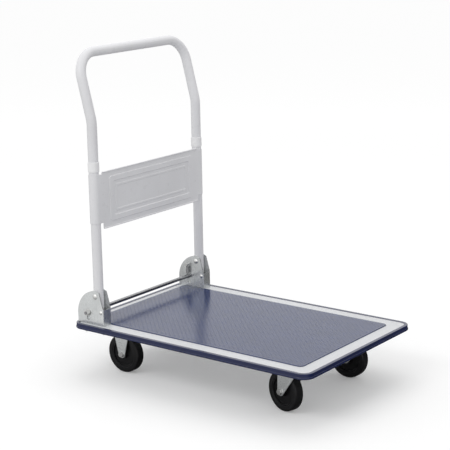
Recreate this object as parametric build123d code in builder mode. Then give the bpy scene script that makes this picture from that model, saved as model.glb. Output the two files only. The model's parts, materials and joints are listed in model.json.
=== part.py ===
from build123d import *
import os
from math import asin, cos, radians, sin

# Folding platform cart. Millimetres. +X runs along the deck to the front, away from the handle, +Y to the
# cart's left, +Z up. The origin is on the floor under the middle of the deck.
os.makedirs("parts", exist_ok=True)

# ---- Overall
deck_length = 720.0
deck_width = 472.0

# ---- Deck, mat and edge bumper
sheet = 1.5
rim_corner = 30.0
flange_depth = 10.0
bumper_wall = 3.0
bumper_lap = 10.0
bumper_lip = 1.0
bumper_foot = 3.0
bumper_round = 0.9
bumper_step = 1.4
bumper_bead = 6.0
bumper_bead_round = 2.6
mat_thickness = 2.0
mat_front_margin = 45.0
mat_side_margin = 44.7
mat_back_margin = 27.5
mat_corner = 12.0
mat_gap = 1.5
mat_chamfer = 0.8

# ---- Casters
wheel_radius = 50.0
tyre_width = 24.5
tyre_shoulder = 4.0
tyre_crown = 0.2
tyre_edge = 5.0
tyre_arc_depth = 1.2
tyre_arc_inset = 1.4
rim_radius = 36.0
rim_wall = 3.0
rim_half_width = 11.0
web_half_width = 7.0
hub_boss_radius = 12.0
hub_half_width = 14.7
moulding_slope = 1.0
axle_tail = 1.5
sleeve_radius = 6.0
running_gap = 0.05
fork_gap = 0.8
fork_sheet = 2.5
fork_tip_radius = 10.0
rigid_half = 28.0
swivel_front = 25.0
swivel_tuck = 2.0
wheel_clearance = 4.0
race_height = 17.0
caster_plate = 3.5
plate_length = 100.0
plate_width = 80.0
plate_bolt_x = 80.0
plate_bolt_y = 60.0
plate_corner = 6.0
plate_bolt_tail = 0.5
trail = 29.0
front_swing_left = -1.0
front_swing_right = -14.0
rear_caster_back = 97.5
rear_caster_side = 96.0
front_caster_front = 99.5
front_caster_side = 92.0
dish_radius = 38.0
dish_height = 4.0
dish_taper = 20.0
ball_radius = 3.0
ball_count = 16
ball_circle = 26.5
race_margin = 2.0
kingpin_radius = 6.0
kingpin_head_radius = 9.0
kingpin_head = 4.0
kingpin_gap = 0.5

# ---- Underside channels
channel_height = 9.5
channel_flange = 8.0
channel_side_margin = 24.0
channel_inner_margin = 15.0
channel_outer_margin = 8.0
bolt_edge = 3.0
rail_width = 30.0
rail_offset = 100.0
rail_gap = 1.0

# ---- M8 fasteners
bolt_radius = 4.0
bolt_hole_radius = 4.25
hex_across = 13.0
bolt_head = 5.3
nut_height = 6.5
bolt_tail = 8.5

# ---- Handle tubes
tube_radius = 12.5
tube_wall = 1.5
tube_side = 31.75
tube_back = 70.0
tube_joint_height = 404.0
bend_height = 517.0
bow_tilt = 14.3
bow_reach = 168.0
bend_radius = 90.0
bow_corner = 60.0
spigot_length = 40.0
spigot_gap = 0.1
spigot_wall = 1.2
swage_step = 0.2
collar_wall = 1.5
collar_chamfer = 0.7
collar_low = 392.0
collar_high = 417.0
plug_flange = 2.0
plug_length = 16.0
plug_gap = 0.05

# ---- Handle panel
panel_sheet = 1.2
panel_low = 246.0
panel_high = 391.0
sleeve_low = 262.0
sleeve_high = 385.0
sleeve_gap = 0.1
notch_gap = 1.5
hem_radius = 1.8
panel_corner = 4.0
bead_inset_side = 40.0
bead_inset_end = 15.0
bead_width = 15.0
bead_height = 1.4
bead_corner = 8.0
bead_taper = 40.0
ridge_gap = 8.0
ridge_width = 6.0
ridge_height = 0.8

# ---- Hinge brackets
bracket_sheet = 2.0
bracket_gap = 0.5
lip_gap = 0.5
bracket_back = 59.6
bracket_rear_straight = 28.0
bracket_top = 90.5
bracket_shoulder = 43.0
bracket_nose = 13.0
bracket_nose_drop = 4.0
bracket_crest = 4.0
bracket_arc_share_x = 0.63
bracket_arc_share_z = 0.82
pivot_height = 75.0
pivot_radius = 4.0
pivot_bush_radius = 6.0
pivot_bush_gap = 0.3
stop_height = 35.5
stop_rivet_radius = 3.0
stop_sleeve_radius = 5.0
stop_gap = 0.2
stop_web_gap = 0.8
rivet_head_radius = 7.0
rivet_head = 3.5
small_head_radius = 5.0
small_head = 2.6
bracket_bolt_rear = 46.0
bracket_bolt_front = 12.0

# ---- Foot release bar
bar_radius = 5.0
bar_journal_radius = 4.0
bar_back = 25.0
bar_height = 31.0
bar_travel = 16.0
bar_slot_gap = 0.3
bar_shoulder_gap = 0.8
washer_radius = 8.5
washer_thickness = 1.6
bar_thread_tail = 1.5
sweep_gap = 0.6
spring_radius = 3.9
spring_wire = 1.2
spring_turns = 13.0
spring_stand_off = 5.2
hook_gap = 0.3
stud_rise = 33.5
stud_radius = 2.5
stud_tail = 5.2
stud_head_radius = 4.0
stud_head = 1.5

# ---- How far a cutting profile runs past what it cuts
cut_margin = 10.0

# ---- Heights above the floor
fork_crown = 2.0 * wheel_radius + wheel_clearance
dish_low = fork_crown + fork_sheet
plate_low = dish_low + race_height
channel_low = plate_low + caster_plate
deck_under = channel_low + channel_height
rim_height = deck_under + sheet
steel_low = rim_height - flange_depth
bumper_low = steel_low - bumper_foot
bumper_high = rim_height + bumper_lip
web_top = rim_height + bracket_sheet
joint_z = rim_height + tube_joint_height
pivot_z = rim_height + pivot_height
stop_z = rim_height + stop_height
bar_z = rim_height + bar_height
bar_low_z = bar_z - bar_travel

# ---- Places in plan
steel_length = deck_length - 2.0 * bumper_wall
steel_width = deck_width - 2.0 * bumper_wall
tube_x = -deck_length / 2.0 + tube_back
tube_y = deck_width / 2.0 - tube_side
rear_x = -deck_length / 2.0 + rear_caster_back
rear_y = deck_width / 2.0 - rear_caster_side
front_x = deck_length / 2.0 - front_caster_front
front_y = deck_width / 2.0 - front_caster_side
bracket_inner = tube_radius + bracket_gap
bracket_half = bracket_inner + bracket_sheet
bracket_back_x = tube_x - bracket_back
stop_x = tube_x + tube_radius + stop_sleeve_radius + stop_gap
bracket_front_x = stop_x + stop_sleeve_radius + stop_web_gap + bracket_sheet
bar_x = tube_x - bar_back
bracket_bolts_x = (tube_x - bracket_bolt_rear, tube_x + bracket_bolt_front)
bracket_bolt_points = [(x, side * tube_y) for x in bracket_bolts_x for side in (-1, 1)]
leg_inner = hub_half_width + fork_gap
leg_outer = leg_inner + fork_sheet
sides = {"right": -1, "left": 1}
front_swing = {"right": front_swing_right, "left": front_swing_left}

# The bumper's lip turns the deck's corner under the back of each bracket, so the bracket's foot starts in
# front of it.
lip_corner = rim_corner - bumper_lap
lip_aside = tube_y + bracket_half - (deck_width / 2.0 - rim_corner)
lip_reach = max(lip_corner**2 - max(lip_aside, 0.0) ** 2, 0.0) ** 0.5
bracket_foot_x = rim_corner - deck_length / 2.0 - lip_reach + lip_gap
bracket_step_z = bumper_lip + lip_gap

# The tube's end clears the release bar, so the handle can be folded with the bar at its upper end.
bar_distance = (bar_back**2 + (pivot_height - bar_height) ** 2) ** 0.5
tube_end_reach = ((bar_distance - bar_radius - sweep_gap) ** 2 - tube_radius**2) ** 0.5
plug_z = pivot_z - tube_end_reach
tube_end_z = plug_z + plug_flange


def save(part, name):
    """Labels a finished piece and writes it."""
    part.label = name
    export_step(part, f"parts/{name}.step")


def plate_points(x, y):
    """The four bolt places of a caster plate centred at x, y."""
    half_x = plate_bolt_x / 2.0
    half_y = plate_bolt_y / 2.0
    return [(x + i * half_x, y + j * half_y) for i in (-1, 1) for j in (-1, 1)]


rear_plate_points = [p for side in (-1, 1) for p in plate_points(rear_x, side * rear_y)]
front_plate_points = [p for side in (-1, 1) for p in plate_points(front_x, side * front_y)]


# ==== Deck ====

with BuildPart() as deck_tray:
    with BuildSketch(Plane.XY.offset(deck_under)):
        RectangleRounded(steel_length, steel_width, rim_corner - bumper_wall)
    extrude(amount=sheet)
    with BuildSketch(Plane.XY.offset(steel_low)):
        RectangleRounded(steel_length, steel_width, rim_corner - bumper_wall)
        RectangleRounded(
            steel_length - 2.0 * sheet, steel_width - 2.0 * sheet, rim_corner - bumper_wall - sheet,
            mode=Mode.SUBTRACT,
        )
    extrude(amount=flange_depth - sheet)
    with BuildSketch(Plane.XY.offset(deck_under)):
        with Locations(*bracket_bolt_points):
            Circle(bolt_hole_radius)
    extrude(amount=sheet, mode=Mode.SUBTRACT)
save(deck_tray.part, "deck_tray")

mat_back_x = -deck_length / 2.0 + mat_back_margin
mat_front_x = deck_length / 2.0 - mat_front_margin
mat_half_width = deck_width / 2.0 - mat_side_margin
notch_front_x = bracket_front_x + mat_gap
notch_inner_y = tube_y - bracket_half - mat_gap
with BuildPart() as deck_mat:
    with BuildSketch(Plane.XY.offset(rim_height)):
        with Locations(((mat_front_x + mat_back_x) / 2.0, 0)):
            RectangleRounded(mat_front_x - mat_back_x, 2.0 * mat_half_width, mat_corner)
        if mat_half_width > notch_inner_y:
            notch_length = notch_front_x - mat_back_x + mat_gap
            notch_width = mat_half_width - notch_inner_y + mat_gap
            notch_x = notch_front_x - notch_length / 2.0
            notch_y = notch_inner_y + notch_width / 2.0
            with Locations(*[(notch_x, side * notch_y) for side in (-1, 1)]):
                Rectangle(notch_length, notch_width, mode=Mode.SUBTRACT)
    extrude(amount=mat_thickness)
    chamfer(deck_mat.faces().sort_by(Axis.Z)[-1].edges(), mat_chamfer)
save(deck_mat.part, "deck_mat")

with BuildPart() as edge_bumper:
    with BuildSketch(Plane.XY.offset(bumper_low)):
        RectangleRounded(deck_length, deck_width, rim_corner)
    extrude(amount=bumper_bead)
    fillet(edge_bumper.faces().sort_by(Axis.Z)[-1].edges(), bumper_bead_round)
    fillet(edge_bumper.faces().sort_by(Axis.Z)[0].edges(), bumper_bead_round)
    with BuildSketch(Plane.XY.offset(bumper_low + bumper_bead_round)):
        RectangleRounded(
            deck_length - 2.0 * bumper_step, deck_width - 2.0 * bumper_step, rim_corner - bumper_step
        )
    extrude(amount=bumper_high - bumper_low - bumper_bead_round)
    fillet(edge_bumper.faces().sort_by(Axis.Z)[-1].edges(), bumper_round)
    with BuildSketch(Plane.XY.offset(steel_low)):
        RectangleRounded(steel_length, steel_width, rim_corner - bumper_wall)
    extrude(amount=flange_depth, mode=Mode.SUBTRACT)
    with BuildSketch(Plane.XY.offset(bumper_low)):
        RectangleRounded(
            deck_length - 2.0 * bumper_lap, deck_width - 2.0 * bumper_lap, rim_corner - bumper_lap
        )
    extrude(amount=bumper_high - bumper_low, mode=Mode.SUBTRACT)
save(edge_bumper.part, "edge_bumper")


def hat_channel(x_low, x_high, y_low, y_high, along_x, holes):
    """A pressed hat channel under the deck: its web is down, and its two flanges lie on the deck."""
    centre = ((x_low + x_high) / 2.0, (y_low + y_high) / 2.0)
    size = (x_high - x_low, y_high - y_low)
    trim = (0.0, 2.0 * sheet) if along_x else (2.0 * sheet, 0.0)
    flange = (0.0, 2.0 * channel_flange) if along_x else (2.0 * channel_flange, 0.0)
    with BuildPart() as channel:
        with BuildSketch(Plane.XY.offset(channel_low)):
            with Locations(centre):
                Rectangle(*size)
        extrude(amount=channel_height)
        with BuildSketch(Plane.XY.offset(deck_under - sheet)):
            with Locations(centre):
                Rectangle(size[0] + flange[0], size[1] + flange[1])
        extrude(amount=sheet)
        with BuildSketch(Plane.XY.offset(channel_low + sheet)):
            with Locations(centre):
                Rectangle(size[0] - trim[0], size[1] - trim[1])
        extrude(amount=channel_height, mode=Mode.SUBTRACT)
        if holes:
            with BuildSketch(Plane.XY.offset(channel_low)):
                with Locations(*holes):
                    Circle(bolt_hole_radius)
            extrude(amount=sheet, mode=Mode.SUBTRACT)
    return channel.part


channel_half_width = deck_width / 2.0 - channel_side_margin
rear_channel_low = bracket_bolts_x[0] - hex_across / 2.0 - bolt_edge
rear_channel_high = rear_x + plate_length / 2.0 + channel_outer_margin
front_channel_low = front_x - plate_length / 2.0 - channel_inner_margin
front_channel_high = front_x + plate_length / 2.0 + channel_outer_margin
rear_channel = hat_channel(
    rear_channel_low, rear_channel_high, -channel_half_width, channel_half_width, False,
    rear_plate_points + bracket_bolt_points,
)
save(rear_channel, "rear_cross_channel")
front_channel = hat_channel(
    front_channel_low, front_channel_high, -channel_half_width, channel_half_width, False, front_plate_points
)
save(front_channel, "front_cross_channel")

rail_low_x = rear_channel_high + channel_flange + rail_gap
rail_high_x = front_channel_low - channel_flange - rail_gap
for side_name, side in sides.items():
    rail_y = side * rail_offset
    rail = hat_channel(
        rail_low_x, rail_high_x, rail_y - rail_width / 2.0, rail_y + rail_width / 2.0, True, []
    )
    save(rail, f"{side_name}_underside_rail")


# ==== Hinge brackets ====

slot_middle = (bar_x, (bar_z + bar_low_z) / 2.0)
for side_name, side in sides.items():
    with BuildPart() as bracket:
        bracket_plane = Plane(origin=(0, side * tube_y, 0), x_dir=(1, 0, 0), z_dir=(0, -1, 0))
        with BuildSketch(bracket_plane):
            with BuildLine():
                front_foot = (bracket_front_x, rim_height)
                front_knee = (bracket_front_x, rim_height + bracket_shoulder)
                nose = (tube_x + bracket_nose, rim_height + bracket_top - bracket_nose_drop)
                crest = (tube_x + bracket_crest, rim_height + bracket_top)
                arc_x = tube_x - bracket_arc_share_x * bracket_back
                arc_z = rim_height + bracket_arc_share_z * bracket_top
                rear_top = (bracket_back_x, rim_height + bracket_rear_straight)
                rear_foot = (bracket_foot_x, rim_height)
                rear_step = (bracket_foot_x, rim_height + bracket_step_z)
                rear_heel = (bracket_back_x, rim_height + bracket_step_z)
                Polyline(crest, nose, front_knee, front_foot, rear_foot, rear_step, rear_heel, rear_top)
                ThreePointArc(rear_top, (arc_x, arc_z), crest)
            make_face()
        extrude(amount=bracket_half, both=True)
        fillet(bracket.edges().filter_by(Axis.Z).group_by(Axis.X)[-1], bracket_sheet)
        with BuildSketch(bracket_plane):
            with BuildLine():
                web_inner_x = bracket_front_x - bracket_sheet
                shoulder_z = rim_height + bracket_shoulder
                above = rim_height + bracket_top + cut_margin
                Polyline(
                    (web_inner_x, web_top), (web_inner_x, shoulder_z),
                    (bracket_front_x + cut_margin, shoulder_z), (bracket_front_x + cut_margin, above),
                    (bracket_back_x - cut_margin, above), (bracket_back_x - cut_margin, web_top), close=True,
                )
            make_face()
        extrude(amount=bracket_inner, both=True, mode=Mode.SUBTRACT)
        with BuildSketch(bracket_plane):
            with Locations((tube_x, pivot_z)):
                Circle(pivot_radius)
            with Locations((stop_x, stop_z)):
                Circle(stop_rivet_radius)
            with Locations(slot_middle):
                SlotCenterToCenter(bar_travel, 2.0 * (bar_journal_radius + bar_slot_gap), rotation=90)
        extrude(amount=bracket_half, both=True, mode=Mode.SUBTRACT)
        with BuildSketch(Plane.XY.offset(rim_height)):
            with Locations(*[(x, side * tube_y) for x in bracket_bolts_x]):
                Circle(bolt_hole_radius)
        extrude(amount=bracket_sheet, mode=Mode.SUBTRACT)
    save(bracket.part, f"{side_name}_hinge_bracket")


def rivets(x, z, shank_radius, head_radius, head_height):
    """A domed rivet through both plates of each bracket, along Y at x, z."""
    grip = bracket_half
    dome = (head_radius**2 + head_height**2) / (2.0 * head_height)
    shoulder = asin(head_radius / dome) / 2.0
    dome_x = dome * sin(shoulder)
    dome_rise = head_height - dome + dome * cos(shoulder)
    with BuildPart() as pair:
        for side in (-1, 1):
            with BuildSketch(Plane(origin=(x, side * tube_y, z), x_dir=(1, 0, 0), z_dir=(0, 0, 1))):
                with BuildLine():
                    tip = (0, grip + head_height)
                    edge = (head_radius, grip)
                    lower_tip = (0, -grip - head_height)
                    lower_edge = (head_radius, -grip)
                    ThreePointArc(tip, (dome_x, grip + dome_rise), edge)
                    Polyline(edge, (shank_radius, grip), (shank_radius, -grip), lower_edge)
                    ThreePointArc(lower_edge, (dome_x, -grip - dome_rise), lower_tip)
                    Line(lower_tip, tip)
                make_face()
            revolve(axis=Axis((x, 0, z), (0, 1, 0)))
    return pair.part


save(rivets(tube_x, pivot_z, pivot_radius, rivet_head_radius, rivet_head), "handle_pivot_rivets")
save(rivets(stop_x, stop_z, stop_rivet_radius, small_head_radius, small_head), "handle_stop_rivets")

with BuildPart() as stop_sleeves:
    with BuildSketch(Plane.XZ):
        with Locations((stop_x, stop_z)):
            Circle(stop_sleeve_radius)
            Circle(stop_rivet_radius, mode=Mode.SUBTRACT)
    extrude(amount=tube_y + bracket_inner, both=True)
    with BuildSketch(Plane.XZ):
        with Locations((stop_x, stop_z)):
            Circle(stop_sleeve_radius)
    extrude(amount=tube_y - bracket_inner, both=True, mode=Mode.SUBTRACT)
save(stop_sleeves.part, "handle_stop_sleeves")


# ==== Fasteners ====


def bolts(points, seat_z, head_direction, length):
    """Hexagon bolts at points: heads stand from the seat in head_direction, shanks go the other way."""
    with BuildPart() as group:
        with BuildSketch(Plane.XY.offset(seat_z)):
            with Locations(*points):
                RegularPolygon(hex_across / 2.0, 6, major_radius=False)
        extrude(amount=head_direction * bolt_head)
        with BuildSketch(Plane.XY.offset(seat_z)):
            with Locations(*points):
                Circle(bolt_radius)
        extrude(amount=-head_direction * length)
    return group.part


def nuts(points, low_z):
    """Hexagon nuts at points, standing on low_z."""
    with BuildPart() as group:
        with BuildSketch(Plane.XY.offset(low_z)):
            with Locations(*points):
                RegularPolygon(hex_across / 2.0, 6, major_radius=False)
                Circle(bolt_radius, mode=Mode.SUBTRACT)
        extrude(amount=nut_height)
    return group.part


bracket_bolt_length = web_top - channel_low + nut_height + bolt_tail
save(bolts(bracket_bolt_points, web_top, 1, bracket_bolt_length), "bracket_bolts")
save(nuts(bracket_bolt_points, channel_low - nut_height), "bracket_nuts")
plate_bolt_length = caster_plate + sheet + nut_height + plate_bolt_tail
save(bolts(rear_plate_points, plate_low, -1, plate_bolt_length), "rear_caster_plate_bolts")
save(nuts(rear_plate_points, channel_low + sheet), "rear_caster_plate_nuts")
save(bolts(front_plate_points, plate_low, -1, plate_bolt_length), "front_caster_plate_bolts")
save(nuts(front_plate_points, channel_low + sheet), "front_caster_plate_nuts")


# ==== Casters ====


def side_plane(x, y, swing):
    """An upright plane along a wheel, through x, y, facing its right: its x runs forward, its y up."""
    turn = radians(swing)
    return Plane(origin=(x, y, 0), x_dir=(cos(turn), sin(turn), 0), z_dir=(sin(turn), -cos(turn), 0))


def flat_plane(x, y, z, swing):
    """A level plane at x, y, z, turned with a wheel."""
    turn = radians(swing)
    return Plane(origin=(x, y, z), x_dir=(cos(turn), sin(turn), 0), z_dir=(0, 0, 1))


def fork_legs(plane, axle, top_low, top_high, crown_z):
    """The two legs of a fork, tapering from its crown to a round tip at the axle."""
    with BuildPart() as legs:
        for offset_inner, direction in ((leg_inner, 1), (-leg_inner, -1)):
            with BuildSketch(plane.offset(offset_inner)):
                with Locations((axle, wheel_radius)):
                    Circle(fork_tip_radius)
                with Locations(((top_low + top_high) / 2.0, crown_z + fork_sheet / 2.0)):
                    Rectangle(top_high - top_low, fork_sheet)
                make_hull()
                with Locations((axle, wheel_radius)):
                    Circle(bolt_radius, mode=Mode.SUBTRACT)
            extrude(amount=direction * fork_sheet)
    return legs.part


rigid_crown = plate_low - fork_sheet
for side_name, side in sides.items():
    legs = fork_legs(side_plane(rear_x, side * rear_y, 0.0), 0.0, -rigid_half, rigid_half, rigid_crown)
    with BuildPart() as frame:
        with BuildSketch(Plane.XY.offset(plate_low)):
            with Locations((rear_x, side * rear_y)):
                RectangleRounded(plate_length, plate_width, plate_corner)
            with Locations(*plate_points(rear_x, side * rear_y)):
                Circle(bolt_hole_radius, mode=Mode.SUBTRACT)
        extrude(amount=caster_plate)
        with BuildSketch(Plane.XY.offset(rigid_crown)):
            with Locations((rear_x, side * rear_y)):
                Rectangle(2.0 * rigid_half, 2.0 * leg_outer)
        extrude(amount=fork_sheet)
        add(legs)
    save(frame.part, f"rear_{side_name}_caster_frame")

swivel_back = -trail - fork_tip_radius + swivel_tuck
ball_z = dish_low + dish_height + ball_radius
for side_name, side in sides.items():
    with BuildPart() as top_plate:
        with BuildSketch(Plane.XY.offset(plate_low)):
            with Locations((front_x, side * front_y)):
                RectangleRounded(plate_length, plate_width, plate_corner)
                Circle(kingpin_radius, mode=Mode.SUBTRACT)
            with Locations(*plate_points(front_x, side * front_y)):
                Circle(bolt_hole_radius, mode=Mode.SUBTRACT)
        extrude(amount=caster_plate)
        with BuildSketch(Plane.XY.offset(ball_z + ball_radius)):
            with Locations((front_x, side * front_y)):
                Circle(ball_circle + ball_radius + race_margin)
                Circle(kingpin_radius, mode=Mode.SUBTRACT)
        extrude(amount=plate_low - ball_z - ball_radius)
    save(top_plate.part, f"front_{side_name}_caster_plate")

with BuildPart() as kingpins:
    pins = [(front_x, side * front_y) for side in (-1, 1)]
    head_top = fork_crown - kingpin_gap
    with BuildSketch(Plane.XY.offset(head_top - kingpin_head)):
        with Locations(*pins):
            Circle(kingpin_radius)
    extrude(amount=channel_low - head_top + kingpin_head)
    with BuildSketch(Plane.XY.offset(head_top - kingpin_head)):
        with Locations(*pins):
            Circle(kingpin_head_radius)
    extrude(amount=kingpin_head)
save(kingpins.part, "front_kingpins")

for side_name, side in sides.items():
    swing = front_swing[side_name]
    y = side * front_y
    legs = fork_legs(side_plane(front_x, y, swing), -trail, swivel_back, swivel_front, fork_crown)
    with BuildPart() as fork:
        with BuildSketch(flat_plane(front_x, y, fork_crown, swing)):
            with Locations(((swivel_back + swivel_front) / 2.0, 0)):
                Rectangle(swivel_front - swivel_back, 2.0 * leg_outer)
        extrude(amount=fork_sheet)
        add(legs)
        with BuildSketch(flat_plane(front_x, y, dish_low, swing)):
            Circle(dish_radius)
        extrude(amount=dish_height, taper=dish_taper)
        with BuildSketch(flat_plane(front_x, y, fork_crown, swing)):
            Circle(kingpin_radius + running_gap)
        extrude(amount=fork_sheet + dish_height, mode=Mode.SUBTRACT)
    save(fork.part, f"front_{side_name}_swivel_fork")

    with BuildPart() as balls:
        with Locations((front_x, y, ball_z)):
            with PolarLocations(ball_circle, ball_count):
                Sphere(ball_radius - running_gap)
    save(balls.part, f"front_{side_name}_swivel_balls")


def wheel_set(name, x, y, swing):
    """A wheel's tyre and hub, and the bolt, nut and sleeve that carry it, centred at x, y."""
    turn = radians(swing)
    axle_axis = Axis((x, y, wheel_radius), (-sin(turn), cos(turn), 0))
    section = Plane(origin=(x, y, wheel_radius), x_dir=(0, 0, 1), z_dir=(cos(turn), sin(turn), 0))
    across = side_plane(x, y, swing)
    with BuildPart() as hub:
        with BuildSketch(section):
            bore = sleeve_radius + running_gap
            inner_rim = rim_radius - rim_wall
            boss_foot = hub_boss_radius + moulding_slope
            with BuildLine():
                Polyline(
                    (bore, -hub_half_width), (hub_boss_radius, -hub_half_width),
                    (boss_foot, -web_half_width), (inner_rim - moulding_slope, -web_half_width),
                    (inner_rim, -rim_half_width), (rim_radius, -rim_half_width),
                    (rim_radius, rim_half_width), (inner_rim, rim_half_width),
                    (inner_rim - moulding_slope, web_half_width), (boss_foot, web_half_width),
                    (hub_boss_radius, hub_half_width), (bore, hub_half_width), close=True,
                )
            make_face()
        revolve(axis=axle_axis)
    save(hub.part, f"{name}_wheel_hub")
    with BuildPart() as tyre:
        with BuildSketch(section):
            half = tyre_width / 2.0
            shoulder = wheel_radius - tyre_shoulder
            lip = rim_radius + moulding_slope
            arc_place = (wheel_radius - tyre_arc_depth, half - tyre_arc_inset)
            tread_edge = (wheel_radius - tyre_crown, half - tyre_edge)
            with BuildLine():
                Polyline(
                    (shoulder, -half), (lip, -half), (rim_radius, -rim_half_width),
                    (rim_radius, rim_half_width), (lip, half), (shoulder, half),
                )
                right_side = ThreePointArc((shoulder, half), arc_place, tread_edge)
                left_side = ThreePointArc(
                    (shoulder, -half), (arc_place[0], -arc_place[1]), (tread_edge[0], -tread_edge[1])
                )
                ThreePointArc(right_side @ 1, (wheel_radius, 0), left_side @ 1)
            make_face()
        revolve(axis=axle_axis)
    save(tyre.part, f"{name}_tyre")
    with BuildPart() as sleeve:
        with BuildSketch(across):
            with Locations((0, wheel_radius)):
                Circle(sleeve_radius)
                Circle(bolt_radius, mode=Mode.SUBTRACT)
        extrude(amount=leg_inner, both=True)
    with BuildPart() as axle_bolt:
        with BuildSketch(across.offset(leg_outer)):
            with Locations((0, wheel_radius)):
                RegularPolygon(hex_across / 2.0, 6, major_radius=False)
        extrude(amount=bolt_head)
        with BuildSketch(across.offset(leg_outer)):
            with Locations((0, wheel_radius)):
                Circle(bolt_radius)
        extrude(amount=-2.0 * leg_outer - nut_height - axle_tail)
    with BuildPart() as axle_nut:
        with BuildSketch(across.offset(-leg_outer)):
            with Locations((0, wheel_radius)):
                RegularPolygon(hex_across / 2.0, 6, major_radius=False)
                Circle(bolt_radius, mode=Mode.SUBTRACT)
        extrude(amount=-nut_height)
    save(sleeve.part, f"{name}_axle_sleeve")
    save(axle_bolt.part, f"{name}_axle_bolt")
    save(axle_nut.part, f"{name}_axle_nut")


for side_name, side in sides.items():
    wheel_set(f"rear_{side_name}", rear_x, side * rear_y, 0.0)
    turn = radians(front_swing[side_name])
    wheel_set(
        f"front_{side_name}", front_x - trail * cos(turn), side * front_y - trail * sin(turn),
        front_swing[side_name],
    )


# ==== Handle ====

for side_name, side in sides.items():
    with BuildPart() as lower_tube:
        with BuildSketch(Plane.XY.offset(tube_end_z)):
            with Locations((tube_x, side * tube_y)):
                Circle(tube_radius)
                Circle(tube_radius - tube_wall, mode=Mode.SUBTRACT)
        extrude(amount=joint_z - tube_end_z)
        with BuildSketch(Plane(origin=(0, side * tube_y, 0), x_dir=(1, 0, 0), z_dir=(0, -1, 0))):
            with Locations((tube_x, pivot_z)):
                Circle(pivot_bush_radius)
        extrude(amount=tube_radius, both=True, mode=Mode.SUBTRACT)
    save(lower_tube.part, f"{side_name}_lower_tube")

with BuildPart() as pivot_bushes:
    for side in (-1, 1):
        with BuildSketch(Plane(origin=(0, side * tube_y, 0), x_dir=(1, 0, 0), z_dir=(0, -1, 0))):
            with Locations((tube_x, pivot_z)):
                Circle(pivot_bush_radius)
                Circle(pivot_radius + running_gap, mode=Mode.SUBTRACT)
        extrude(amount=bracket_inner - pivot_bush_gap, both=True)
save(pivot_bushes.part, "handle_pivot_bushes")

tube_centres = [(tube_x, side * tube_y) for side in (-1, 1)]
with BuildPart() as end_plugs:
    with BuildSketch(Plane.XY.offset(plug_z)):
        with Locations(*tube_centres):
            Circle(tube_radius)
    extrude(amount=plug_flange)
    with BuildSketch(Plane.XY.offset(tube_end_z)):
        with Locations(*tube_centres):
            Circle(tube_radius - tube_wall - plug_gap)
    extrude(amount=plug_length)
save(end_plugs.part, "tube_end_plugs")

with BuildPart() as collars:
    with BuildSketch(Plane.XY.offset(rim_height + collar_low)):
        with Locations(*tube_centres):
            Circle(tube_radius + collar_wall)
            Circle(tube_radius, mode=Mode.SUBTRACT)
    extrude(amount=collar_high - collar_low)
    outer_edges = collars.edges().filter_by(GeomType.CIRCLE).group_by(SortBy.RADIUS)[-1]
    chamfer(outer_edges, collar_chamfer)
save(collars.part, "tube_collars")

tilt = radians(bow_tilt)
bend_z = rim_height + bend_height
bow_top_x = tube_x - bow_reach * sin(tilt)
bow_top_z = bend_z + bow_reach * cos(tilt)
with BuildPart() as upper_bow:
    with BuildLine():
        FilletPolyline(
            (tube_x, -tube_y, joint_z), (tube_x, -tube_y, bend_z), (bow_top_x, -tube_y, bow_top_z),
            (bow_top_x, tube_y, bow_top_z), (tube_x, tube_y, bend_z), (tube_x, tube_y, joint_z),
            radius=(bend_radius, bow_corner, bow_corner, bend_radius),
        )
    with BuildSketch(Plane.XY.offset(joint_z)):
        with Locations((tube_x, -tube_y)):
            Circle(tube_radius)
            Circle(tube_radius - tube_wall, mode=Mode.SUBTRACT)
    sweep()
    spigot_radius = tube_radius - tube_wall - spigot_gap
    with BuildSketch(Plane.XY.offset(joint_z - spigot_length)):
        with Locations(*tube_centres):
            Circle(spigot_radius)
            Circle(spigot_radius - spigot_wall, mode=Mode.SUBTRACT)
    extrude(amount=spigot_length)
    with BuildSketch(Plane.XY.offset(joint_z)):
        with Locations(*tube_centres):
            Circle(tube_radius - swage_step)
            Circle(spigot_radius - spigot_wall, mode=Mode.SUBTRACT)
    extrude(amount=tube_wall)
save(upper_bow.part, "upper_bow")

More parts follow.
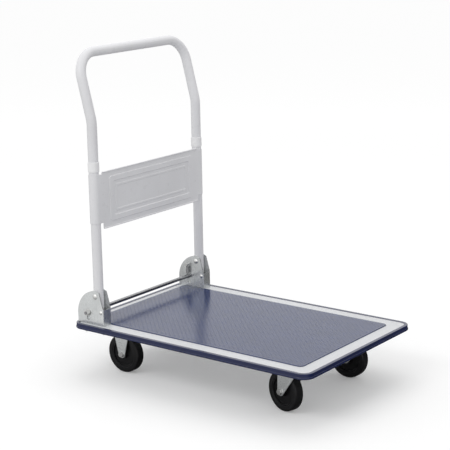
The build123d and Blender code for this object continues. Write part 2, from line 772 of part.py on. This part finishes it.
panel_x = tube_x + tube_radius + sleeve_gap
panel_mid_z = rim_height + (panel_low + panel_high) / 2.0
panel_tall = panel_high - panel_low
panel_reach = tube_y - tube_radius - notch_gap
sleeve_outer = tube_radius + sleeve_gap + panel_sheet
bead_wide = 2.0 * (tube_y - bead_inset_side)
bead_tall = panel_tall - 2.0 * bead_inset_end
ridge_wide = bead_wide - 2.0 * (bead_width + ridge_gap)
ridge_tall = bead_tall - 2.0 * (bead_width + ridge_gap)
panel_plane = Plane(origin=(panel_x, 0, panel_mid_z), x_dir=(0, 1, 0), z_dir=(1, 0, 0))
with BuildPart() as handle_panel:
    with BuildSketch(panel_plane):
        RectangleRounded(2.0 * panel_reach, panel_tall, panel_corner)
        with Locations((0, (sleeve_low + sleeve_high) / 2.0 - (panel_low + panel_high) / 2.0)):
            Rectangle(2.0 * tube_y, sleeve_high - sleeve_low)
    extrude(amount=panel_sheet)
    with BuildSketch(Plane.XY.offset(rim_height + sleeve_low)):
        with Locations(*tube_centres):
            Circle(sleeve_outer)
            Circle(tube_radius + sleeve_gap, mode=Mode.SUBTRACT)
    extrude(amount=sleeve_high - sleeve_low)
    with BuildSketch(panel_plane.offset(panel_sheet)):
        RectangleRounded(bead_wide, bead_tall, bead_corner)
        RectangleRounded(
            bead_wide - 2.0 * bead_width, bead_tall - 2.0 * bead_width, bead_corner / 2.0, mode=Mode.SUBTRACT
        )
    extrude(amount=bead_height, taper=bead_taper)
    with BuildSketch(panel_plane.offset(panel_sheet)):
        RectangleRounded(ridge_wide, ridge_tall, bead_corner / 2.0)
        RectangleRounded(
            ridge_wide - 2.0 * ridge_width, ridge_tall - 2.0 * ridge_width, bead_corner / 4.0,
            mode=Mode.SUBTRACT,
        )
    extrude(amount=ridge_height, taper=bead_taper)
    with BuildSketch(Plane.XZ):
        with Locations(
            *[(panel_x + panel_sheet, panel_mid_z + end * (panel_tall / 2.0 - hem_radius)) for end in (-1, 1)]
        ):
            Circle(hem_radius)
    extrude(amount=panel_reach - panel_corner, both=True)
save(handle_panel.part, "handle_panel")


# ==== Foot release bar ====

shoulder_y = tube_y - bracket_half - bar_shoulder_gap
washer_y = tube_y + bracket_half + bar_shoulder_gap
nut_y = washer_y + washer_thickness
with BuildPart() as release_bar:
    with BuildSketch(Plane.XZ):
        with Locations((bar_x, bar_z)):
            Circle(bar_radius)
    extrude(amount=shoulder_y, both=True)
    with BuildSketch(Plane.XZ):
        with Locations((bar_x, bar_z)):
            Circle(bar_journal_radius)
    extrude(amount=nut_y + nut_height + bar_thread_tail, both=True)
save(release_bar.part, "release_bar")

with BuildPart() as bar_washers:
    for side in (-1, 1):
        with BuildSketch(Plane(origin=(0, side * washer_y, 0), x_dir=(1, 0, 0), z_dir=(0, -1, 0))):
            with Locations((bar_x, bar_z)):
                Circle(washer_radius)
                Circle(bar_journal_radius, mode=Mode.SUBTRACT)
        extrude(amount=-side * washer_thickness)
save(bar_washers.part, "release_bar_washers")

with BuildPart() as bar_nuts:
    for side in (-1, 1):
        with BuildSketch(Plane(origin=(0, side * nut_y, 0), x_dir=(1, 0, 0), z_dir=(0, -1, 0))):
            with Locations((bar_x, bar_z)):
                RegularPolygon(hex_across / 2.0, 6, major_radius=False)
                Circle(bar_journal_radius, mode=Mode.SUBTRACT)
        extrude(amount=-side * nut_height)
save(bar_nuts.part, "release_bar_nuts")

# Each spring hangs on a stud in its bracket's inner plate and hooks round the release bar below it.
spring_y = tube_y - bracket_half - bar_shoulder_gap - spring_stand_off
stud_z = bar_z + stud_rise
stud_length = tube_y - bracket_half - spring_y + stud_tail
with BuildPart() as spring_studs:
    for side in (-1, 1):
        stud_plane = Plane(origin=(0, side * (tube_y - bracket_half), 0), x_dir=(1, 0, 0), z_dir=(0, -1, 0))
        with BuildSketch(stud_plane):
            with Locations((bar_x, stud_z)):
                Circle(stud_radius)
        extrude(amount=side * stud_length)
        with BuildSketch(stud_plane.offset(side * stud_length)):
            with Locations((bar_x, stud_z)):
                Circle(stud_head_radius)
        extrude(amount=side * stud_head)
save(spring_studs.part, "spring_studs")

lower_hook = bar_radius + hook_gap + spring_wire / 2.0
upper_hook = stud_radius + hook_gap + spring_wire / 2.0
coil_low = bar_z + lower_hook
coil_high = stud_z - upper_hook
with BuildPart() as release_springs:
    for side in (-1, 1):
        for hook_z, hook_radius in ((bar_z, lower_hook), (stud_z, upper_hook)):
            with Locations(Location((bar_x, side * spring_y, hook_z), (90, 0, 0))):
                Torus(hook_radius, spring_wire / 2.0)
        with BuildLine():
            Helix(
                pitch=(coil_high - coil_low) / spring_turns,
                height=coil_high - coil_low,
                radius=spring_radius,
                center=(bar_x, side * spring_y, coil_low),
            )
        with BuildSketch(
            Plane(origin=(bar_x + spring_radius, side * spring_y, coil_low), x_dir=(1, 0, 0), z_dir=(0, 1, 0))
        ):
            Circle(spring_wire / 2.0)
        sweep(is_frenet=True)
save(release_springs.part, "release_springs")
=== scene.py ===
import json
import math

import bmesh
import bpy
from mathutils import Matrix, Vector


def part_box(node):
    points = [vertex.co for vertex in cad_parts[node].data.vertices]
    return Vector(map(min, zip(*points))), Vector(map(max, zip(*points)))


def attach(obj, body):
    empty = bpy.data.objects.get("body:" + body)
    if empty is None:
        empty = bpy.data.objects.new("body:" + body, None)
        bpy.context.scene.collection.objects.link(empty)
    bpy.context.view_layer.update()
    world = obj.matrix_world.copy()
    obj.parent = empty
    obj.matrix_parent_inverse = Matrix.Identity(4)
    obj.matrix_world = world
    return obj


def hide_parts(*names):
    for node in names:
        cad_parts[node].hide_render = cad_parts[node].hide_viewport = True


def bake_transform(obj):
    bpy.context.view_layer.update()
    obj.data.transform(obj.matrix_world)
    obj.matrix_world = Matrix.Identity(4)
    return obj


# Folding platform cart: materials, fine pieces, floor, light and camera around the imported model.
# Metres, in the model's frame: +X to the cart's front, +Y to its left, +Z up, origin on the floor.

MM = 0.001

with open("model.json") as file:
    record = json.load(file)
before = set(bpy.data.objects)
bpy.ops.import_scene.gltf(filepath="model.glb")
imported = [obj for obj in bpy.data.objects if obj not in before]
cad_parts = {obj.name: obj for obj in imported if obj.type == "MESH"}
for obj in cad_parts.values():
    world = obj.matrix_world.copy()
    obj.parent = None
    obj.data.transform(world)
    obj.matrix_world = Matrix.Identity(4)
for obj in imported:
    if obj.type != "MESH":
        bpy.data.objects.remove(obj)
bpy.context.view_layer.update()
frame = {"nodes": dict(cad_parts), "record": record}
nodes = frame["nodes"]
scene = bpy.context.scene


# ---- Node helpers ----

# The Mix node's colour sockets share their names with its number sockets, so they go by index.
MIX_FACTOR = 0
MIX_A = 6
MIX_B = 7
MIX_RESULT = 2

# The bevel node's samples, and how far its normal agrees with the face's on flat and on sharp places.
BEVEL_SAMPLES = 4
FLAT_AGREEMENT = 0.995
SHARP_AGREEMENT = 0.9


class Shader:
    """A material's node tree, with short calls for the nodes used here."""

    def __init__(self, name):
        self.material = bpy.data.materials.new(name)
        self.material.use_nodes = True
        self.tree = self.material.node_tree
        self.tree.nodes.clear()
        output = self.tree.nodes.new("ShaderNodeOutputMaterial")
        self.bsdf = self.tree.nodes.new("ShaderNodeBsdfPrincipled")
        self.tree.links.new(self.bsdf.outputs["BSDF"], output.inputs["Surface"])
        self.coords = self.tree.nodes.new("ShaderNodeTexCoord").outputs["Object"]

    def put(self, socket, value):
        """Links value to a socket if it is an output, and sets it if it is a number or a colour."""
        if isinstance(value, bpy.types.NodeSocket):
            self.tree.links.new(value, socket)
        elif isinstance(value, tuple) and len(value) == 3 and socket.type == "RGBA":
            socket.default_value = (*value, 1.0)
        else:
            socket.default_value = value

    def set(self, **values):
        """Sets the surface's own sockets, by their names with underscores for spaces."""
        for name, value in values.items():
            self.put(self.bsdf.inputs[name.replace("_", " ")], value)

    def stretched(self, scale):
        """The object coordinates, scaled along each axis."""
        mapping = self.tree.nodes.new("ShaderNodeMapping")
        self.put(mapping.inputs["Vector"], self.coords)
        mapping.inputs["Scale"].default_value = scale
        return mapping.outputs["Vector"]

    def noise(self, scale, detail, roughness=0.5, vector=None):
        """Noise from about 0 to 1, over the object coordinates or over a vector."""
        texture = self.tree.nodes.new("ShaderNodeTexNoise")
        self.put(texture.inputs["Vector"], vector or self.coords)
        texture.inputs["Scale"].default_value = scale
        texture.inputs["Detail"].default_value = detail
        texture.inputs["Roughness"].default_value = roughness
        return texture.outputs["Fac"]

    def remap(self, value, low, high, to_low, to_high):
        """value from low..high to to_low..to_high, clamped."""
        node = self.tree.nodes.new("ShaderNodeMapRange")
        self.put(node.inputs["Value"], value)
        node.inputs["From Min"].default_value = low
        node.inputs["From Max"].default_value = high
        node.inputs["To Min"].default_value = to_low
        node.inputs["To Max"].default_value = to_high
        return node.outputs["Result"]

    def math(self, operation, a, b):
        """The result of a Math node, such as MULTIPLY or ADD."""
        node = self.tree.nodes.new("ShaderNodeMath")
        node.operation = operation
        self.put(node.inputs[0], a)
        self.put(node.inputs[1], b)
        return node.outputs["Value"]

    def mix(self, factor, a, b):
        """The colour a where factor is 0 and b where it is 1."""
        node = self.tree.nodes.new("ShaderNodeMix")
        node.data_type = "RGBA"
        self.put(node.inputs[MIX_FACTOR], factor)
        self.put(node.inputs[MIX_A], a)
        self.put(node.inputs[MIX_B], b)
        return node.outputs[MIX_RESULT]

    def bump(self, height, distance, strength, normal):
        """A normal tilted by a height, on top of another normal."""
        node = self.tree.nodes.new("ShaderNodeBump")
        self.put(node.inputs["Height"], height)
        node.inputs["Distance"].default_value = distance
        node.inputs["Strength"].default_value = strength
        self.put(node.inputs["Normal"], normal)
        return node.outputs["Normal"]

    def soft_edge(self, radius):
        """A normal that rounds sharp edges over radius."""
        node = self.tree.nodes.new("ShaderNodeBevel")
        node.samples = BEVEL_SAMPLES
        node.inputs["Radius"].default_value = radius
        return node.outputs["Normal"]

    def edge_wear(self, radius, low, high):
        """Wear that is 1 on sharp edges, broken up by noise, and 0 on flat faces, and the rounded normal."""
        rounded = self.soft_edge(radius)
        geometry = self.tree.nodes.new("ShaderNodeNewGeometry")
        dot = self.tree.nodes.new("ShaderNodeVectorMath")
        dot.operation = "DOT_PRODUCT"
        self.put(dot.inputs[0], rounded)
        self.put(dot.inputs[1], geometry.outputs["Normal"])
        edge = self.remap(dot.outputs["Value"], FLAT_AGREEMENT, SHARP_AGREEMENT, 0.0, 1.0)
        patches = self.remap(self.noise(160.0, 4.0, 0.65), low, high, 0.0, 1.0)
        return self.math("MULTIPLY", edge, patches), rounded


def shade(colour, factor):
    """The colour, darker or lighter by a factor."""
    return tuple(factor * c for c in colour)


def powder_coat(name, colour, roughness):
    """Baked powder paint: fine orange peel, faint handling marks, and a little wear on the edges."""
    s = Shader(name)
    cloud = s.remap(s.noise(7.0, 4.0), 0.3, 0.7, 0.0, 1.0)
    paint = s.mix(cloud, shade(colour, 0.93), colour)
    grime = s.remap(s.noise(34.0, 6.0, 0.7), 0.62, 0.8, 0.0, 0.22)
    paint = s.mix(grime, paint, shade(colour, 0.55))
    wear, rounded = s.edge_wear(0.5 * MM, 0.56, 0.66)
    paint = s.mix(s.math("MULTIPLY", wear, 0.55), paint, BARE_STEEL)
    scuffs = s.noise(1.0, 5.0, 0.6, s.stretched((520.0, 520.0, 45.0)))
    gloss = s.remap(s.noise(55.0, 5.0, 0.6), 0.3, 0.75, roughness - 0.05, roughness + 0.09)
    gloss = s.math("ADD", gloss, s.remap(scuffs, 0.6, 0.78, 0.0, 0.12))
    peel = s.bump(s.noise(950.0, 2.0), 0.06 * MM, 0.35, rounded)
    s.set(Base_Color=paint, Roughness=gloss, Normal=peel, Specular_IOR_Level=0.3)
    return s.material


def zinc_plate(name, colour, roughness, streak, metallic=1.0):
    """Bright zinc plating on rolled steel: faint rolling lines, cloudy patches, and small dull spots."""
    s = Shader(name)
    cloud = s.remap(s.noise(48.0, 5.0, 0.65), 0.3, 0.72, 0.0, 1.0)
    tint = s.mix(cloud, shade(colour, 0.84), colour)
    spots = s.remap(s.noise(330.0, 3.0, 0.6), 0.64, 0.74, 0.0, 0.5)
    tint = s.mix(spots, tint, DULL_ZINC)
    lines = s.noise(1.0, 4.0, 0.6, s.stretched(streak))
    gloss = s.remap(lines, 0.25, 0.75, roughness - 0.06, roughness + 0.1)
    gloss = s.math("ADD", gloss, s.remap(cloud, 0.0, 1.0, 0.08, 0.0))
    wear, rounded = s.edge_wear(0.35 * MM, 0.5, 0.6)
    tint = s.mix(s.math("MULTIPLY", wear, 0.4), tint, RUBBED_ZINC)
    normal = s.bump(lines, ROLLING_DEPTH, 0.5, rounded)
    s.set(Base_Color=tint, Metallic=metallic, Roughness=gloss, Normal=normal)
    return s.material


def moulded(name, colour, roughness, texture, depth, mottling, specular=0.5):
    """Moulded plastic or rubber: a fine surface grain, faint mottling, and rubbed edges."""
    s = Shader(name)
    cloud = s.remap(s.noise(26.0, 5.0, 0.6), 0.3, 0.7, 0.0, 1.0)
    base = s.mix(cloud, shade(colour, 1.0 - mottling), shade(colour, 1.0 + mottling))
    wear, rounded = s.edge_wear(0.5 * MM, 0.48, 0.62)
    pale = tuple(min(1.0, 0.02 + 1.5 * c) for c in colour)
    base = s.mix(s.math("MULTIPLY", wear, 0.3), base, pale)
    gloss = s.remap(s.noise(120.0, 5.0, 0.65), 0.3, 0.7, roughness - 0.06, roughness + 0.08)
    normal = s.bump(s.noise(texture, 3.0, 0.6), depth, 0.5, rounded)
    s.set(Base_Color=base, Roughness=gloss, Normal=normal, Specular_IOR_Level=specular)
    return s.material


# ---- Materials ----

WHITE_PAINT = (0.66, 0.67, 0.69)
GREY_PAINT = (0.81, 0.81, 0.83)
ZINC = (0.74, 0.76, 0.76)
FASTENER = (0.66, 0.66, 0.65)
STEEL = (0.30, 0.30, 0.31)
NAVY = (0.004, 0.010, 0.060)
NAVY_MAT = (0.022, 0.036, 0.110)
RUBBER = (0.010, 0.010, 0.011)
HUB = (0.008, 0.008, 0.009)
WHITE_PLASTIC = (0.88, 0.88, 0.89)

# What shows where a finish is worn, spotted or rubbed.
BARE_STEEL = (0.42, 0.42, 0.43)
DULL_ZINC = (0.47, 0.46, 0.43)
RUBBED_ZINC = (0.9, 0.9, 0.9)

# The fine lines in plated steel: how deep, and their noise scale along each axis, small along the lines.
ROLLING_DEPTH = 0.02 * MM
LINES_ALONG_X = (40.0, 900.0, 900.0)
LINES_ALONG_Y = (900.0, 60.0, 900.0)
LINES_UPRIGHT = (900.0, 900.0, 40.0)
NO_LINES = (700.0, 700.0, 700.0)

deck_paint = powder_coat("deck_paint", WHITE_PAINT, roughness=0.36)
tube_paint = powder_coat("tube_paint", GREY_PAINT, roughness=0.30)
zinc = zinc_plate("zinc_plate", ZINC, roughness=0.26, streak=LINES_ALONG_X, metallic=0.6)
zinc_upright = zinc_plate("zinc_upright", ZINC, roughness=0.24, streak=LINES_UPRIGHT, metallic=0.82)
fastener = zinc_plate("zinc_fastener", FASTENER, roughness=0.32, streak=NO_LINES)
steel = zinc_plate("turned_steel", STEEL, roughness=0.24, streak=LINES_ALONG_Y)
bumper_vinyl = moulded(
    "bumper_vinyl", NAVY, roughness=0.14, texture=420.0, depth=0.015 * MM, mottling=0.15, specular=0.42
)
mat_vinyl = moulded(
    "mat_vinyl", NAVY_MAT, roughness=0.19, texture=900.0, depth=0.03 * MM, mottling=0.12, specular=0.42
)
tyre_rubber = moulded(
    "tyre_rubber", RUBBER, roughness=0.42, texture=800.0, depth=0.05 * MM, mottling=0.2, specular=0.25
)
hub_plastic = moulded(
    "hub_plastic", HUB, roughness=0.34, texture=600.0, depth=0.05 * MM, mottling=0.12, specular=0.3
)
white_plastic = moulded(
    "white_plastic", WHITE_PLASTIC, roughness=0.34, texture=600.0, depth=0.03 * MM, mottling=0.03
)

FINISHES = {
    "deck_paint": deck_paint,
    "handle_paint": tube_paint,
    "mat": mat_vinyl,
    "bumper": bumper_vinyl,
    "zinc": zinc,
    "zinc_fastener": fastener,
    "steel": steel,
    "white_plastic": white_plastic,
    "tyre": tyre_rubber,
    "hub": hub_plastic,
}
for entry in frame["record"]["subparts"]:
    body = nodes[entry["node"]]
    body.data.materials.clear()
    body.data.materials.append(FINISHES[entry["material_slot"]])
# The brackets' rolling lines run up and down.
for name in nodes:
    if name.endswith("hinge_bracket"):
        nodes[name].data.materials[0] = zinc_upright


# ---- Fine pieces ----


def piece(name, mesh, material, body):
    """A new piece from a mesh, riding on a body if one is given."""
    obj = bpy.data.objects.new(name, mesh)
    scene.collection.objects.link(obj)
    mesh.materials.append(material)
    for polygon in mesh.polygons:
        polygon.use_smooth = True
    if body:
        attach(obj, body)
    return obj


def tube_mesh(name, points, radius, sides):
    """A closed round tube along a list of points."""
    bm = bmesh.new()
    rings = []
    side = None
    for i, point in enumerate(points):
        ahead = points[min(i + 1, len(points) - 1)] - points[max(i - 1, 0)]
        ahead.normalize()
        if side is None:
            side = ahead.orthogonal().normalized()
        side = (side - ahead * side.dot(ahead)).normalized()
        up = ahead.cross(side)
        ring = []
        for k in range(sides):
            t = 2.0 * math.pi * k / sides
            ring.append(bm.verts.new(point + radius * (math.cos(t) * side + math.sin(t) * up)))
        rings.append(ring)
    for one, two in zip(rings, rings[1:]):
        for k in range(sides):
            bm.faces.new((one[k], one[(k + 1) % sides], two[(k + 1) % sides], two[k]))
    bm.faces.new(rings[0][::-1])
    bm.faces.new(rings[-1])
    bmesh.ops.recalc_face_normals(bm, faces=bm.faces)
    mesh = bpy.data.meshes.new(name)
    bm.to_mesh(mesh)
    bm.free()
    return mesh


# The release springs: each hooks on a stud above and on the bar below. On the cart it stretches as the bar
# goes down; here each is one fixed mesh on no body.
SPRING_TURNS = 15
SPRING_WIRE = 0.5 * MM
SPRING_COIL = 3.9 * MM
SPRING_STEPS = 18
SPRING_SIDES = 8
SPRING_EASE_STEPS = 6.0
HOOK_STEPS = 16
HOOK_SWEEP = 1.75 * math.pi
HOOK_TO_COIL = 1.6 * MM
BAR_HOOK_CLEARANCE = 0.9 * MM


def spring_points(x, y, bar_z, stud_z, bar_hook, stud_hook):
    """The line of the wire: a hook round the bar, the coil, and a hook round the stud."""
    points = []
    low = bar_z + bar_hook + HOOK_TO_COIL
    high = stud_z - stud_hook - HOOK_TO_COIL
    for k in range(HOOK_STEPS + 1):
        t = math.pi / 2.0 - HOOK_SWEEP + HOOK_SWEEP * k / HOOK_STEPS
        points.append(Vector((x + bar_hook * math.cos(t), y, bar_z + bar_hook * math.sin(t))))
    steps = SPRING_TURNS * SPRING_STEPS
    for k in range(steps + 1):
        t = 2.0 * math.pi * k / SPRING_STEPS
        ease = min(1.0, k / SPRING_EASE_STEPS, (steps - k) / SPRING_EASE_STEPS)
        reach = SPRING_COIL * ease
        rise = low + (high - low) * k / steps
        points.append(Vector((x + reach * math.sin(t), y + reach * math.cos(t), rise)))
    for k in range(HOOK_STEPS + 1):
        t = -math.pi / 2.0 - HOOK_SWEEP * k / HOOK_STEPS
        points.append(Vector((x + stud_hook * math.cos(t), y, stud_z + stud_hook * math.sin(t))))
    return points


stud_low, stud_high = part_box("spring_studs")
bar_low, bar_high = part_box("release_bar")
spring_low, spring_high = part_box("release_springs")
bar_x = (bar_low.x + bar_high.x) / 2.0
bar_z = (bar_low.z + bar_high.z) / 2.0
bar_radius = (bar_high.z - bar_low.z) / 2.0
stud_z = (stud_low.z + stud_high.z) / 2.0
spring_y = (spring_high.y - spring_low.y) / 2.0 - SPRING_COIL - SPRING_WIRE
bar_hook = bar_radius + BAR_HOOK_CLEARANCE
stud_hook = 3.4 * MM
for side_name, side in (("right", -1), ("left", 1)):
    line = spring_points(bar_x, side * spring_y, bar_z, stud_z, bar_hook, stud_hook)
    mesh = tube_mesh(f"release_spring_{side_name}", line, SPRING_WIRE, SPRING_SIDES)
    spring = piece(f"release_spring_{side_name}", mesh, steel, None)
    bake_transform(spring)
    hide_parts("release_springs")


# ---- Mat tread ----

# Short raised bars on the mat, in pairs that lean left and right by turns.
TREAD_PITCH = 7.0 * MM
TREAD_LENGTH = 5.4 * MM
TREAD_WIDTH = 1.7 * MM
TREAD_HEIGHT = 0.30 * MM
TREAD_MARGIN = 5.0 * MM
TREAD_SINK = 0.05 * MM
TREAD_LEAN = 45.0
# A bar's top, as shares of its foot, and its outline: a long hexagon, in shares of its length and width.
TREAD_TOP_LENGTH = 0.8
TREAD_TOP_WIDTH = 0.5
SHOULDER = 0.36
TREAD_OUTLINE = (
    (-0.5, 0.0), (-SHOULDER, -0.5), (SHOULDER, -0.5),
    (0.5, 0.0), (SHOULDER, 0.5), (-SHOULDER, 0.5),
)
# The bars stay this far from the hinge brackets' notches.
NOTCH_MARGIN_X = 3.0 * MM
NOTCH_MARGIN_Y = 5.0 * MM


def tread_mesh(low, high):
    """All the tread's bars in one mesh, each a low bar with sloping sides."""
    verts, faces = [], []
    columns = int((high.x - low.x - 2.0 * TREAD_MARGIN) / TREAD_PITCH)
    rows = int((high.y - low.y - 2.0 * TREAD_MARGIN) / TREAD_PITCH)
    start_x = (low.x + high.x - (columns - 1) * TREAD_PITCH) / 2.0
    start_y = (low.y + high.y - (rows - 1) * TREAD_PITCH) / 2.0
    levels = (
        (high.z - TREAD_SINK, TREAD_LENGTH, TREAD_WIDTH),
        (high.z + TREAD_HEIGHT, TREAD_TOP_LENGTH * TREAD_LENGTH, TREAD_TOP_WIDTH * TREAD_WIDTH),
    )
    corners = len(TREAD_OUTLINE)
    notch_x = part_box("left_hinge_bracket")[1].x + NOTCH_MARGIN_X
    notch_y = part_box("left_hinge_bracket")[0].y - NOTCH_MARGIN_Y
    for column in range(columns):
        for row in range(rows):
            x = start_x + column * TREAD_PITCH
            y = start_y + row * TREAD_PITCH
            if x < notch_x and abs(y) > notch_y:
                continue
            turn = math.radians(TREAD_LEAN if (column + row) % 2 else -TREAD_LEAN)
            along = Vector((math.cos(turn), math.sin(turn)))
            across = Vector((-along.y, along.x))
            first = len(verts)
            for z, length, width in levels:
                for u, v in TREAD_OUTLINE:
                    corner = Vector((x, y)) + along * (u * length) + across * (v * width)
                    verts.append((corner.x, corner.y, z))
            faces.append(tuple(range(first + corners, first + 2 * corners)))
            faces.append(tuple(range(first + corners - 1, first - 1, -1)))
            for k in range(corners):
                n = (k + 1) % corners
                faces.append((first + k, first + n, first + corners + n, first + corners + k))
    mesh = bpy.data.meshes.new("mat_tread")
    mesh.from_pydata(verts, [], faces)
    mesh.update()
    return mesh


mat_low, mat_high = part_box("deck_mat")
tread = piece("mat_tread", tread_mesh(mat_low, mat_high), mat_vinyl, "platform")
for polygon in tread.data.polygons:
    polygon.use_smooth = False


# ---- Floor, light and camera ----

# The sky's strength for diffuse rays, for mirrored rays, and for the camera.
SKY_DIFFUSE = 0.76
SKY_GLOSSY = 1.3
SKY_SEEN = 1.0
# The floor's grey for the camera, for bounced light, and for mirrored rays on its dark and light sides.
FLOOR_SEEN = 0.84
FLOOR_BOUNCE = 0.66
FLOOR_MIRRORED_DARK = 0.14
FLOOR_MIRRORED_LIGHT = 0.80
MIRRORED_LIGHT_Y = -0.40
MIRRORED_DARK_Y = -0.20
# The floor glows a little for the camera, from SHADOW_FILL under the cart up to BACKDROP_GLOW far off.
BACKDROP_NEAR = 0.3
BACKDROP_FAR = 4.0
BACKDROP_GLOW = 0.34
SHADOW_FILL = 0.19
FLOOR_HALF = 40.0
FLOOR_DROP = 0.2 * MM
# The dark flag's centre is this far out along both +X and +Y.
FLAG_AWAY = 2.4
FLAG_HALF_WIDTH = 2.2
FLAG_HEIGHT = 2.0
FLAG_GREY = 0.02
STAGE_ROUGHNESS = 0.9
LIGHT_TARGET = (0.0, 0.0, 0.3)


def grey(value):
    return (value, value, value)


def studio_floor_material():
    """A white sweep, up to plain white far off. Reflections see a darker one, but not to the cart's right."""
    s = Shader("studio_floor")
    ray = s.tree.nodes.new("ShaderNodeLightPath").outputs
    distance = s.tree.nodes.new("ShaderNodeVectorMath")
    distance.operation = "LENGTH"
    s.put(distance.inputs[0], s.coords)
    glow = s.remap(distance.outputs["Value"], BACKDROP_NEAR, BACKDROP_FAR, SHADOW_FILL, BACKDROP_GLOW)
    place = s.tree.nodes.new("ShaderNodeSeparateXYZ")
    s.put(place.inputs[0], s.coords)
    light = s.remap(place.outputs["Y"], MIRRORED_LIGHT_Y, MIRRORED_DARK_Y, 1.0, 0.0)
    mirrored = s.mix(light, grey(FLOOR_MIRRORED_DARK), grey(FLOOR_MIRRORED_LIGHT))
    unseen = s.mix(ray["Is Glossy Ray"], grey(FLOOR_BOUNCE), mirrored)
    s.set(
        Base_Color=s.mix(ray["Is Camera Ray"], unseen, grey(FLOOR_SEEN)),
        Roughness=STAGE_ROUGHNESS, Specular_IOR_Level=0.0,
        Emission_Color=grey(1.0), Emission_Strength=s.math("MULTIPLY", glow, ray["Is Camera Ray"]),
    )
    return s.material


def stage_plane(name, corners, material):
    """A flat four-cornered piece of the stage."""
    mesh = bpy.data.meshes.new(name)
    mesh.from_pydata(corners, [], [(0, 1, 2, 3)])
    mesh.materials.append(material)
    plane = bpy.data.objects.new(name, mesh)
    scene.collection.objects.link(plane)
    return plane


floor_corners = [
    (x * FLOOR_HALF, y * FLOOR_HALF, -FLOOR_DROP)
    for x, y in ((-1, -1), (1, -1), (1, 1), (-1, 1))
]
floor = stage_plane("studio_floor", floor_corners, studio_floor_material())

world = bpy.data.worlds.new("studio")
scene.world = world
world.use_nodes = True
background = world.node_tree.nodes["Background"]
background.inputs["Color"].default_value = (1.0, 1.0, 1.0, 1.0)
world_ray = world.node_tree.nodes.new("ShaderNodeLightPath").outputs
mirrored_sky = world.node_tree.nodes.new("ShaderNodeMapRange")
mirrored_sky.inputs["To Min"].default_value = SKY_DIFFUSE
mirrored_sky.inputs["To Max"].default_value = SKY_GLOSSY
world.node_tree.links.new(world_ray["Is Glossy Ray"], mirrored_sky.inputs["Value"])
seen_sky = world.node_tree.nodes.new("ShaderNodeMapRange")
seen_sky.inputs["To Max"].default_value = SKY_SEEN
world.node_tree.links.new(world_ray["Is Camera Ray"], seen_sky.inputs["Value"])
world.node_tree.links.new(mirrored_sky.outputs["Result"], seen_sky.inputs["To Min"])
world.node_tree.links.new(seen_sky.outputs["Result"], background.inputs["Strength"])
scene.view_settings.view_transform = "Standard"


def softbox(name, place, size, power):
    """A large area light at place that faces the cart."""
    data = bpy.data.lights.new(name, "AREA")
    data.shape = "RECTANGLE"
    data.size, data.size_y = size
    data.energy = power
    light = bpy.data.objects.new(name, data)
    light.location = place
    light.rotation_mode = "QUATERNION"
    light.rotation_quaternion = (Vector(LIGHT_TARGET) - Vector(place)).to_track_quat("-Z", "Y")
    scene.collection.objects.link(light)
    light.visible_camera = False


softbox("top_softbox", place=(-0.3, 0.9, 2.7), size=(2.4, 2.4), power=14.0)
softbox("side_softbox", place=(-0.2, -2.3, 2.3), size=(1.8, 0.8), power=17.0)

# A dark flag to the cart's front left, which only the cart's reflections see, paints dark reflections on the
# edges that face it.
flag_material = Shader("dark_flag")
flag_material.set(Base_Color=grey(FLAG_GREY), Roughness=STAGE_ROUGHNESS, Specular_IOR_Level=0.0)
flag_corners = [
    (FLAG_AWAY + s * FLAG_HALF_WIDTH, FLAG_AWAY - s * FLAG_HALF_WIDTH, z)
    for s, z in ((-1, 0.0), (1, 0.0), (1, FLAG_HEIGHT), (-1, FLAG_HEIGHT))
]
flag = stage_plane("dark_flag", flag_corners, flag_material.material)
flag.visible_camera = False
flag.visible_diffuse = False
flag.visible_shadow = False

# The camera of the reference view: its eye, the point it looks at, its roll and its lens.
EYE = Vector((2.0108, -2.6938, 1.2069))
TARGET = Vector((-0.0399, -0.0039, 0.3873))
ROLL = math.radians(-1.11)
SENSOR_WIDTH = 36.0
LENS = 111.85
UP = Vector((0.0, 0.0, 1.0))
camera_data = bpy.data.cameras.new("camera")
camera_data.sensor_width = SENSOR_WIDTH
camera_data.lens = LENS
camera = bpy.data.objects.new("camera", camera_data)
scene.collection.objects.link(camera)
ahead = (TARGET - EYE).normalized()
right = ahead.cross(UP).normalized()
above = right.cross(ahead)
rolled_right = right * math.cos(ROLL) + above * math.sin(ROLL)
rolled_above = above * math.cos(ROLL) - right * math.sin(ROLL)
facing = Matrix((rolled_right, rolled_above, -ahead)).transposed().to_4x4()
camera.matrix_world = Matrix.Translation(EYE) @ facing
scene.camera = camera
